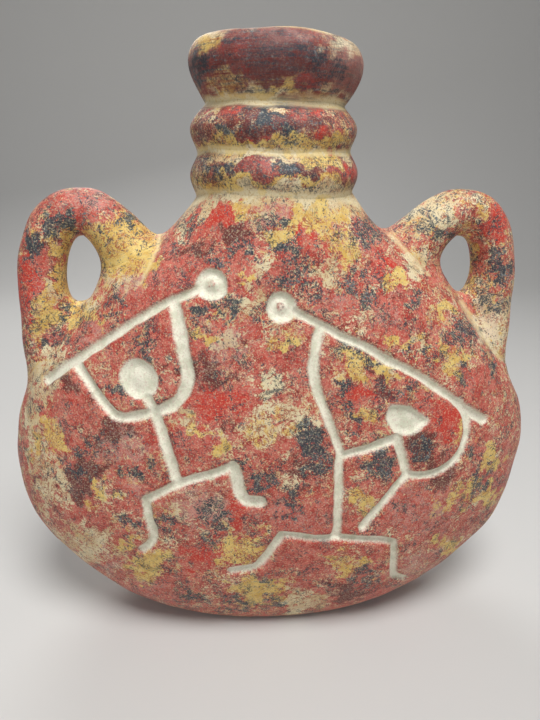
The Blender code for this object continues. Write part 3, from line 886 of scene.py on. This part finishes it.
def clay_material(name):
    """Painted clay: cream slip, then ochre, red and charcoal dry-brushed over it, with worn grains."""
    material = bpy.data.materials.new(name)
    material.use_nodes = True
    shader = material.node_tree.nodes["Principled BSDF"]
    graph = Graph(material)
    red_cover, ochre_cover, charcoal_cover, mauve_cover = graph.fields("cover")
    maroon_tint, bright_tint, bare, _ = graph.fields("tint")
    crease, line, wear, streak = graph.fields("relief")

    grain = graph.noise(*NOISES["grain"])
    brushed = graph.noise(*BRUSH_NOISE, stretch=BRUSH_STRETCH)
    flake = graph.blend(streak, graph.noise(*NOISES["flake"]), brushed)
    grain_move = graph.math("SUBTRACT", grain, 0.5)
    grain_move = graph.math("MULTIPLY", grain_move, graph.math("MULTIPLY_ADD", streak, -GRAINS_LOST, 1.0))
    flake_move = graph.math("SUBTRACT", flake, 0.5)

    def shaded(paint):
        """A paint of two shades, parted by noise."""
        noise, low, high, first, second = SHADES[paint]
        return graph.mix(graph.step(graph.noise(*noise), low, high), first, second)

    def layer(paint, cover):
        """Where a colour lies: its cover, moved up and down by brushed patches, flakes and grains."""
        size, seed, patching, flaking, graining, width = LAYERS[paint]
        patch = graph.math("SUBTRACT", graph.noise(size, *LAYER_NOISE, seed), 0.5)
        patch = graph.math("MULTIPLY", patch, graph.math("MULTIPLY_ADD", streak, -PATCHES_LOST, 1.0))
        moved = graph.math("MULTIPLY_ADD", patch, patching, cover)
        moved = graph.math("MULTIPLY_ADD", flake_move, flaking, moved)
        moved = graph.math("MULTIPLY_ADD", grain_move, graining, moved)
        low = graph.math("MULTIPLY_ADD", streak, -2.0 * width, 0.5 - width)
        high = graph.math("MULTIPLY_ADD", streak, 2.0 * width, 0.5 + width)
        return graph.step(moved, low, high)

    def thin_lines(paint):
        """Thin wandering lines: where noise crosses its middle value, shown only in some patches."""
        size, seed, width, low, high = THIN_LINES[paint]
        crossing = graph.math("SUBTRACT", graph.noise(size, *THIN_LINE_NOISE, seed), 0.5)
        shown = graph.step(graph.noise(2.0 * size, *SHOWING_NOISE, seed + 0.5), low, high)
        drawn = graph.step(graph.math("ABSOLUTE", crossing), 0.3 * width, width, start=0.9, end=0.0)
        shown = graph.math("MULTIPLY", shown, graph.math("SUBTRACT", 1.0, streak))
        return graph.math("MULTIPLY", drawn, shown)

    ochre_laid = layer("ochre", ochre_cover)
    colour = graph.mix(ochre_laid, shaded("slip"), shaded("ochre"))
    colour = graph.mix(thin_lines("rust"), colour, RUST)
    red = graph.mix(layer("bright", bright_tint), shaded("red"), BRIGHT_RED)
    red = graph.mix(layer("maroon", maroon_tint), red, MAROON)
    colour = graph.mix(layer("red", red_cover), colour, red)
    film = graph.math("MULTIPLY", layer("mauve", mauve_cover), FILM_SHARE)
    colour = graph.mix(film, colour, MAUVE)
    dark = graph.math("MULTIPLY", layer("charcoal", charcoal_cover), CHARCOAL_SHARE)
    colour = graph.mix(dark, colour, shaded("charcoal"))
    colour = graph.mix(thin_lines("charcoal"), colour, CHARCOAL)
    speck = graph.step(graph.noise(*NOISES["speck"]), low=0.48, high=0.74, end=0.5)
    colour = graph.mix(graph.math("MULTIPLY", speck, wear), colour, CREAM)
    fleck = graph.math("MULTIPLY_ADD", charcoal_cover, FLECK_GAIN, graph.noise(*NOISES["fleck"]))
    colour = graph.mix(graph.step(fleck, low=0.73, high=0.80, end=0.8), colour, CHARCOAL)

    in_crease = graph.math("MULTIPLY_ADD", flake_move, CREASE_FLAKES, crease)
    in_crease = graph.math("MULTIPLY_ADD", grain_move, CREASE_GRAINS, in_crease)
    slip = graph.mix(graph.step(grain, low=0.50, high=0.70), CREAM, TAN)
    slip = graph.mix(graph.math("MULTIPLY", ochre_laid, CREASE_OCHRE), slip, OCHRE)
    colour = graph.mix(graph.step(in_crease, low=0.25, high=0.85), colour, slip)
    edge = graph.math("MULTIPLY_ADD", grain_move, FIGURE_GRAINS, line)
    edge = graph.math("MULTIPLY_ADD", flake_move, FIGURE_FLAKES, edge)
    in_line = graph.step(edge, low=0.48, high=0.56, start=1.0, end=0.0)
    dusted = graph.step(graph.noise(*NOISES["dust"]), low=0.50, high=0.70, end=0.5)
    colour = graph.mix(in_line, colour, graph.mix(dusted, shaded("chalk"), MAUVE))
    clay = graph.mix(graph.step(grain, low=0.4, high=0.7), BARE_CLAY, TAN)
    graph.link(graph.mix(bare, colour, clay), shader.inputs["Base Color"])

    shader.inputs["Specular IOR Level"].default_value = GLOSS
    shader.inputs["Sheen Weight"].default_value = VELVET
    shader.inputs["Sheen Roughness"].default_value = VELVET_ROUGHNESS
    shader.inputs["Sheen Tint"].default_value = VELVET_TINT
    rough = graph.step(graph.noise(*NOISES["polish"]), low=0.3, high=0.7, start=0.52, end=0.70)
    graph.link(rough, shader.inputs["Roughness"])
    bump = material.node_tree.nodes.new("ShaderNodeBump")
    bump.inputs["Strength"].default_value = BUMP_STRENGTH
    bump.inputs["Distance"].default_value = BUMP_HEIGHT
    graph.link(graph.math("MULTIPLY_ADD", flake, FLAKE_HEIGHT, grain), bump.inputs["Height"])
    graph.link(bump.outputs[0], shader.inputs["Normal"])
    return material


# Walls and foot

# Slip left in the creases, as its mean, how far it varies and its least, the length and seed of its patches,
# and how far below the neck it reaches
SHOULDER_SLIP = (0.6, 0.3, 0.3)
NECK_SLIP = (0.82, 0.2, 0.68)
SLIP_PATCH = 0.022
SLIP_SEED = 91
SHOULDER_CREASE = 0.0075


def mottled(points, mean, change, least):
    """How much slip is left at each point: its mean and waves about it."""
    return np.clip(mean + change * plane_waves(points, SLIP_PATCH, SLIP_SEED), least, 1.0)


def make_wall(name, front, grid, material):
    """One half of the body: C-shaped loops that run along the outer face and back along the inner face."""
    rows, outer_columns = grid
    fine = np.linspace(0.0, 1.0, WALL_FINE_STEPS)
    heights = fine**2 * SHOULDER_HEIGHT
    width, depth = half_sizes(heights)
    side = np.stack([(width + depth) / 2, heights], axis=-1)
    rise = even_steps(side, rows) ** 2 * SHOULDER_HEIGHT
    belly = body_points(math.pi * fine, np.full(fine.shape, BELLY_HEIGHT), 0.0)
    angle = math.pi * even_steps(belly, outer_columns)
    back_angle = math.pi * np.linspace(1.0, 0.0, INNER_COLUMNS)
    turn = 1.0 if front else -1.0
    outer = body_points(turn * angle[None, :], rise[:, None], 0.0)
    inner = body_points(turn * back_angle[None, :], rise[:, None], WALL)
    normal = grid_normals(outer)
    if normal[rows // 2, outer_columns // 2, 1] * turn > 0:
        normal = -normal
    normal[:, [0, -1], 1] = 0.0
    normal /= np.linalg.norm(normal, axis=-1, keepdims=True)
    outside = np.full(outer.shape[:2], FAR_FROM_LINES)
    shaped = outer
    for handle in HANDLES.values():
        shaped = shaped + normal * handle_swell(outer, normal, handle)[..., None]
    if front:
        sunk, outside = figure_fields(outer)
        sunk = np.maximum(sunk, SEAM_DEPTH * seam_lines(shaped))
        shaped = shaped - normal * sunk[..., None]
    crease = mottled(outer, *SHOULDER_SLIP) * bell(SHOULDER_HEIGHT - outer[..., 2], SHOULDER_CREASE)
    loops = np.concatenate([hand_shaped(shaped), hand_shaped(inner)], axis=1)
    blank = np.zeros(inner.shape[:2])
    crease = np.concatenate([crease, blank], axis=1)
    outside = np.concatenate([outside, blank + FAR_FROM_LINES], axis=1)
    fields = paint_fields(loops, STYLES["body"], crease, outside)
    fields["tint"][:, outer_columns:, 2] = 1.0
    if not front:
        loops = loops[:, ::-1]
        fields = {label: values[:, ::-1] for label, values in fields.items()}
    return make_piece(name, loops, capped_faces, material, fields)


def make_foot(material):
    """The slab inside the walls: flat below, its side one wall in from the body's outer face."""
    rows, columns = FOOT_GRID
    rise = np.linspace(0.0, FOOT_THICKNESS, rows)
    angle = np.linspace(0.0, -2 * math.pi, columns, endpoint=False)
    loops = body_points(angle[None, :], rise[:, None], WALL + FOOT_CLEARANCE)
    return make_piece("foot", loops, capped_faces, material, paint_fields(loops, STYLES["inside"]))


# Neck

# Narrow places of the neck from the shoulder to the lip, as (height, radius)
NARROWS = [
    (SHOULDER_HEIGHT, SHOULDER_RADIUS),
    (RING_JOINT_HEIGHT, 0.0426),
    (0.3276, 0.0373),
    (LIP_HEIGHT, 0.0408),
]
# The swelling between each two of them: its widest radius, how high its widest place is, how round it is
SWELLINGS = [(0.0469, 1.0, 1.5), (0.0458, 1.0, 1.4), (0.0461, 1.3, 0.68)]
# Hollows where the slip shows, as height and reach, and how much slip the worn lip shows and how far down
HOLLOWS = [(0.2832, 0.0024), (RING_JOINT_HEIGHT, 0.0024), (0.3270, 0.0034)]
LIP_SLIP = 0.65
LIP_WEAR = 0.0020
# Inside of the mouth cup from the lip down to its foot, as (radius, height) in millimetres
CUP_INSIDE = [
    (38.6, 356.9), (37.0, 354.6), (36.6, 350.0), (35.0, 343.0), (31.6, 336.0), (29.0, 329.0), (28.8, 324.0),
]
CUP_STEPS = 40
# Section of the inner tube, as (radius, height) points round it
TUBE = [
    (0.0368, 0.2822), (0.0368, CUP_FOOT_HEIGHT), (0.0300, CUP_FOOT_HEIGHT), (NECK_BORE, 0.312),
    (NECK_BORE, 0.300), (0.0325, 0.290), (0.0345, 0.2822),
]
# Over how many points of the inside the paint gives way to bare clay
BARE_FADE = 6.0


def neck_profile():
    """Outer side of the neck, as (radius, height) points.

    Between two narrow places it is the straight line plus a crown, sin(pi * s^lift)^power of the share s.
    """
    share = np.linspace(0.0, 1.0, NECK_FINE_STEPS, endpoint=False)
    stretches = []
    for (low, foot), (high, top), (widest, lift, power) in zip(NARROWS, NARROWS[1:], SWELLINGS):
        middle = 0.5 ** (1.0 / lift)
        crown = widest - foot - (top - foot) * middle
        radius = foot + (top - foot) * share + crown * np.sin(math.pi * share**lift) ** power
        stretches.append(np.stack([radius, low + (high - low) * share], axis=-1))
    lip = np.array([[NARROWS[-1][1], NARROWS[-1][0]]])
    return np.concatenate(stretches + [lip])


def smooth_curve(marks, count):
    """A Catmull-Rom curve through marks, sampled at equal lengths."""
    padded = np.concatenate([2 * marks[:1] - marks[1:2], marks, 2 * marks[-1:] - marks[-2:-1]])
    place = np.linspace(0.0, len(marks) - 1, CURVE_FINE_STEPS * len(marks))
    span = np.minimum(place.astype(int), len(marks) - 2)
    t = (place - span)[:, None]
    before = padded[span]
    start = padded[span + 1]
    end = padded[span + 2]
    after = padded[span + 3]
    bend = 2 * before - 5 * start + 4 * end - after
    twist = 3 * start - before - 3 * end + after
    curve = 0.5 * (2 * start + (end - before) * t + bend * t**2 + twist * t**3)
    return resampled(curve, count)


def neck_crease(height):
    """The hollows between the rings and the worn lip, where the slip shows: a bell round each height."""
    deep = LIP_SLIP * bell(height - LIP_HEIGHT, LIP_WEAR)
    for middle, reach in HOLLOWS:
        deep = np.maximum(deep, bell(height - middle, reach))
    return deep


def make_turned(name, low, high, inside, style, material):
    """A turned piece of the neck between two heights, with the points of its inside from the top down."""
    whole = neck_profile()
    between = whole[(whole[:, 1] > low) & (whole[:, 1] < high)]
    ends = np.array([[np.interp(level, whole[:, 1], whole[:, 0]), level] for level in (low, high)])
    outer = np.concatenate([ends[:1], between, ends[1:]])
    count = int(np.linalg.norm(np.diff(outer, axis=0), axis=1).sum() / NECK_STEP)
    loops = turned_loops(np.concatenate([resampled(outer, count), inside]), NECK_TURNS)
    crease = neck_crease(loops[..., 2]) * mottled(loops, *NECK_SLIP)
    crease[:, count:] = 0.0
    shaped = hand_shaped(loops)
    fields = paint_fields(shaped, style, crease)
    fields["tint"][:, count:, 2] = np.clip(np.arange(len(inside)) / BARE_FADE, 0.0, 1.0)
    return make_piece(name, shaped, ringed_faces, material, fields)


def make_ring(name, low, high, material):
    """A coil ring between two heights, with a straight bore."""
    bore = np.array([(RING_BORE, level) for level in (high, (high + low) / 2, low)])
    return make_turned(name, low, high, bore, STYLES["ring"], material)


def make_cup(material):
    """The flared mouth, whose inside is a smooth curve."""
    inside = smooth_curve(np.array(CUP_INSIDE) / 1000, CUP_STEPS)
    return make_turned("mouth_clay", CUP_FOOT_HEIGHT, LIP_HEIGHT, inside, STYLES["mouth"], material)


def make_tube(material):
    """The neck's inner tube, a turned section, which is seen only through the mouth."""
    loops = turned_loops(np.array(TUBE), TUBE_TURNS)
    return make_piece("neck_clay", loops, ringed_faces, material, paint_fields(loops, STYLES["inside"]))


# Handles

# In metres on the +X side: how full the outer bend is, where each handle leaves the shoulder, its
# crown, its widest place and its foot, the radii there, and the pads of clay pressed on round its hole, as
# the place, the thickness and the reach
HANDLES = {
    "left_handle": {
        "side": -1.0,
        "fullness": 2.5,
        "places": [(0.074, 0.236), (0.107, 0.2713), (0.1396, 0.212), (0.124, 0.162)],
        "radii": [0.0170, 0.0123, 0.0140, 0.0170],
        "pads": [(0.094, 0.239, 0.0070, 0.015), (0.124, 0.213, 0.0058, 0.011)],
    },
    "right_handle": {
        "side": 1.0,
        "fullness": 2.55,
        "places": [(0.075, 0.239), (0.1055, 0.2704), (0.1362, 0.222), (0.124, 0.162)],
        "radii": [0.0180, 0.0125, 0.0123, 0.0170],
        "pads": [(0.097, 0.235, 0.0052, 0.015), (0.121, 0.218, 0.0050, 0.010)],
    },
}
JOINT_FILLET = 0.008
INNER_FULLNESS = 1.3
# The body stands out for a handle only past this x and height
HANDLE_ZONE = (0.04, 0.10)
# How often the fillet is worked out, and how much of each correction is taken
SWELL_ROUNDS = 12
SWELL_PACE = 0.7


def handle_centreline(handle, count):
    """Centre points and radii along a handle, from the shoulder over the crown to the side.

    Two quarter ovals |u|^n + |v|^n = 1 meet at the crown, a nearly straight one on the shoulder's side and
    a full one outside. Below its widest place the line draws in by the fourth power of its drop.
    """
    share = np.linspace(0.0, 1.0, HANDLE_FINE_STEPS, endpoint=False)
    rise = np.sin(share * math.pi / 2)
    fall = np.cos(share * math.pi / 2)
    (head_x, head_z), (crown_x, crown_z), (wide_x, wide_z), (foot_x, foot_z) = handle["places"]
    outer_power = 2 / handle["fullness"]
    inner_x = crown_x + (head_x - crown_x) * fall ** (2 / INNER_FULLNESS)
    inner_z = head_z + (crown_z - head_z) * rise ** (2 / INNER_FULLNESS)
    outer_x = crown_x + (wide_x - crown_x) * rise**outer_power
    outer_z = wide_z + (crown_z - wide_z) * fall**outer_power
    lower_x = wide_x + (foot_x - wide_x) * share**4
    lower_z = wide_z + (foot_z - wide_z) * share
    eased = 3 * share**2 - 2 * share**3
    radii = [start + (end - start) * eased for start, end in zip(handle["radii"], handle["radii"][1:])]
    columns = [[inner_x, outer_x, lower_x], [inner_z, outer_z, lower_z], radii]
    curve = resampled(np.stack([np.concatenate(column) for column in columns], axis=-1), count)
    centre = np.stack([handle["side"] * curve[:, 0], np.zeros(count), curve[:, 1]], axis=-1)
    return centre, curve[:, 2]


def added_clay(points, handle):
    """How thick the clay is that was pressed on round a handle's hole: a bell round each pad."""
    thickness = np.zeros(points.shape[:-1])
    for pad_x, pad_z, most, reach in handle["pads"]:
        away = np.linalg.norm(points - np.array([handle["side"] * pad_x, 0.0, pad_z]), axis=-1)
        thickness += most * bell(away, reach)
    return thickness


def handle_gap(points, handle):
    """How far points are outside a handle: to the nearest centre point, less the radius and the pads."""
    centre, radius = handle_centreline(handle, GAP_STEPS)
    gap = np.full(points.shape[:-1], np.inf)
    for place, reach in zip(centre, radius):
        gap = np.minimum(gap, np.linalg.norm(points - place, axis=-1) - reach)
    return gap - added_clay(points, handle)


def body_gap(points, handle):
    """How far points are outside the body with the pads round one handle."""
    return body_distance(points) - added_clay(points, handle)


def swell(points, normal, own_gap, other_gap, handle):
    """How far clay stands out along its normals where handle and body are worked together.

    The fillet of a smooth union: a form's own gap becomes (k - |own - other|)^2 / 4k at the moved point.
    """
    drawn = np.zeros(points.shape[:-1])
    for _ in range(SWELL_ROUNDS):
        place = points + normal * drawn[..., None]
        own = own_gap(place, handle)
        overlap = np.maximum(JOINT_FILLET - np.abs(own - other_gap(place, handle)), 0.0)
        drawn += SWELL_PACE * (overlap**2 / (4 * JOINT_FILLET) - own)
    return drawn


def handle_swell(points, normal, handle):
    """How far the body stands out round a handle, worked out only near it."""
    drawn = np.zeros(points.shape[:-1])
    least_x, least_height = HANDLE_ZONE
    near = (points[..., 0] * handle["side"] > least_x) & (points[..., 2] > least_height)
    drawn[near] = swell(points[near], normal[near], body_gap, handle_gap, handle)
    return drawn


def handle_surface(handle, rows, columns):
    """Loops round a handle and their spokes: a round tube with its pads and its share of the fillet."""
    centre, radius = handle_centreline(handle, rows)
    along = np.gradient(centre, axis=0)
    along /= np.linalg.norm(along, axis=1, keepdims=True)
    outward = np.array([0.0, 1.0, 0.0])
    across = np.cross(along, outward)
    angle = np.linspace(0.0, 2 * math.pi, columns, endpoint=False)
    spoke = np.cos(angle)[None, :, None] * across[:, None, :] + np.sin(angle)[None, :, None] * outward
    loops = centre[:, None, :] + radius[:, None, None] * spoke
    drawn = swell(loops, spoke, handle_gap, body_gap, handle)
    return loops + drawn[..., None] * spoke, spoke


def volume_of(loops):
    """Signed size of the tube that loops make, which tells whether its faces look outwards."""
    here = loops[:-1]
    after = np.roll(here, -1, axis=1)
    above = loops[1:]
    return np.einsum("ijk,ijk->", here, np.cross(after, above))


def make_handle(name, material):
    """A round tube along the handle's centreline, spread out where it is worked into the body."""
    loops, spoke = handle_surface(HANDLES[name], *HANDLE_GRID)
    shaped = hand_shaped(loops - SEAM_DEPTH * seam_lines(loops)[..., None] * spoke)
    fields = paint_fields(shaped, STYLES["handle"])
    piece = make_piece(name + "_clay", shaped, capped_faces, material, fields)
    if volume_of(shaped) < 0:
        piece.data.flip_normals()
    return piece


# Studio

# The floor's half width and front edge, where it bends up, the bend's radius and first angle, between what
# heights the backdrop stands straight, and how far the floor lies under the foot, in metres and radians
FLOOR_HALF_WIDTH = 3.0
FLOOR_FRONT = -2.0
BEND_START = 1.0
BEND_RADIUS = 0.6
BEND_FIRST_ANGLE = 0.1
BACKDROP_FOOT = 0.8
BACKDROP_TOP = 3.0
FLOOR_GAP = 0.0004
# Columns of the studio's grid, and its rows on the floor, in the bend and on the backdrop
STUDIO_COLUMNS = 13
STUDIO_ROWS = (8, 14, 6)
PAPER = (0.60, 0.59, 0.57, 1.0)
PAPER_ROUGHNESS = 0.9
AIR = (0.95, 0.97, 1.0, 1.0)
AIR_STRENGTH = 0.18
# Round lamps, as the place, the width and the power
LAMPS = {
    "overhead": ((0.10, -0.50, 1.30), 0.55, 16.3),
    "front_fill": ((-0.5, -1.5, 0.75), 1.2, 4.0),
    "back_fill": ((-0.3, 0.95, 0.95), 0.8, 6.0),
}
# Where all lamps are aimed, and a direction that none of them shines along, which squares their axes
LAMP_AIM = (0.0, 0.0, 0.15)
LAMP_BACK = (0.0, 1.0, 0.3)


def make_floor():
    """A pale floor that bends up, by a quarter circle, into a straight backdrop."""
    floor_rows, bend_rows, backdrop_rows = STUDIO_ROWS
    level = np.linspace(FLOOR_FRONT, BEND_START, floor_rows)
    bend = np.linspace(BEND_FIRST_ANGLE, math.pi / 2, bend_rows)
    upright = np.linspace(BACKDROP_FOOT, BACKDROP_TOP, backdrop_rows)
    far = np.full(backdrop_rows, BEND_START + BEND_RADIUS)
    across = np.linspace(-FLOOR_HALF_WIDTH, FLOOR_HALF_WIDTH, STUDIO_COLUMNS)
    back = np.concatenate([level, BEND_START + BEND_RADIUS * np.sin(bend), far])
    lift = np.concatenate([np.zeros(floor_rows), BEND_RADIUS * (1.0 - np.cos(bend)), upright]) - FLOOR_GAP
    grid = np.stack(np.broadcast_arrays(across[None, :], back[:, None], lift[:, None]), axis=-1)
    paper = bpy.data.materials.new("studio_paper")
    paper.use_nodes = True
    shader = paper.node_tree.nodes["Principled BSDF"]
    shader.inputs["Base Color"].default_value = PAPER
    shader.inputs["Roughness"].default_value = PAPER_ROUGHNESS
    return make_piece("studio_floor", grid, open_faces, paper, {})


def add_lamp(name, place, size, power):
    """A round lamp that shines at the flask."""
    data = bpy.data.lights.new(name, "AREA")
    data.shape = "DISK"
    data.size = size
    data.energy = power
    lamp = bpy.data.objects.new(name, data)
    away = np.array(place) - np.array(LAMP_AIM)
    away = away / np.linalg.norm(away)
    side = np.cross(LAMP_BACK, away)
    side = side / np.linalg.norm(side)
    up = np.cross(away, side)
    lamp.matrix_world = Matrix([[side[i], up[i], away[i], place[i]] for i in range(3)] + [[0, 0, 0, 1]])
    bpy.context.scene.collection.objects.link(lamp)


def make_studio():
    """The floor and backdrop, a lamp above, soft ones in front and behind, and some light all round."""
    floor = make_floor()
    for name, (place, size, power) in LAMPS.items():
        add_lamp(name, place, size, power)
    world = bpy.data.worlds.new("studio_air")
    bpy.context.scene.world = world
    world.use_nodes = True
    air = world.node_tree.nodes["Background"]
    air.inputs["Color"].default_value = AIR
    air.inputs["Strength"].default_value = AIR_STRENGTH


def main():
    """Makes the view, the studio and the pieces, and ties each piece to the node that it stands for."""
    for leftover in [item for item in bpy.data.objects if item.name in ("Cube", "Light", "Camera")]:
        bpy.data.objects.remove(leftover, do_unlink=True)
    bpy.context.scene.view_settings.view_transform = "Standard"
    make_camera()
    make_studio()
    clay = clay_material("painted_clay")
    pieces = {
        "front_wall": make_wall("front_clay", True, FRONT_GRID, clay),
        "back_wall": make_wall("back_clay", False, BACK_GRID, clay),
        "base_slab": make_foot(clay),
        "neck_tube": make_tube(clay),
        "lower_neck_ring": make_ring("lower_ring_clay", SHOULDER_HEIGHT, RING_JOINT_HEIGHT, clay),
        "upper_neck_ring": make_ring("upper_ring_clay", RING_JOINT_HEIGHT, CUP_FOOT_HEIGHT, clay),
        "mouth_cup": make_cup(clay),
        "left_handle": make_handle("left_handle", clay),
        "right_handle": make_handle("right_handle", clay),
    }
    for node, piece in pieces.items():
        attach(piece, "root")
        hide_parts(node)


main()
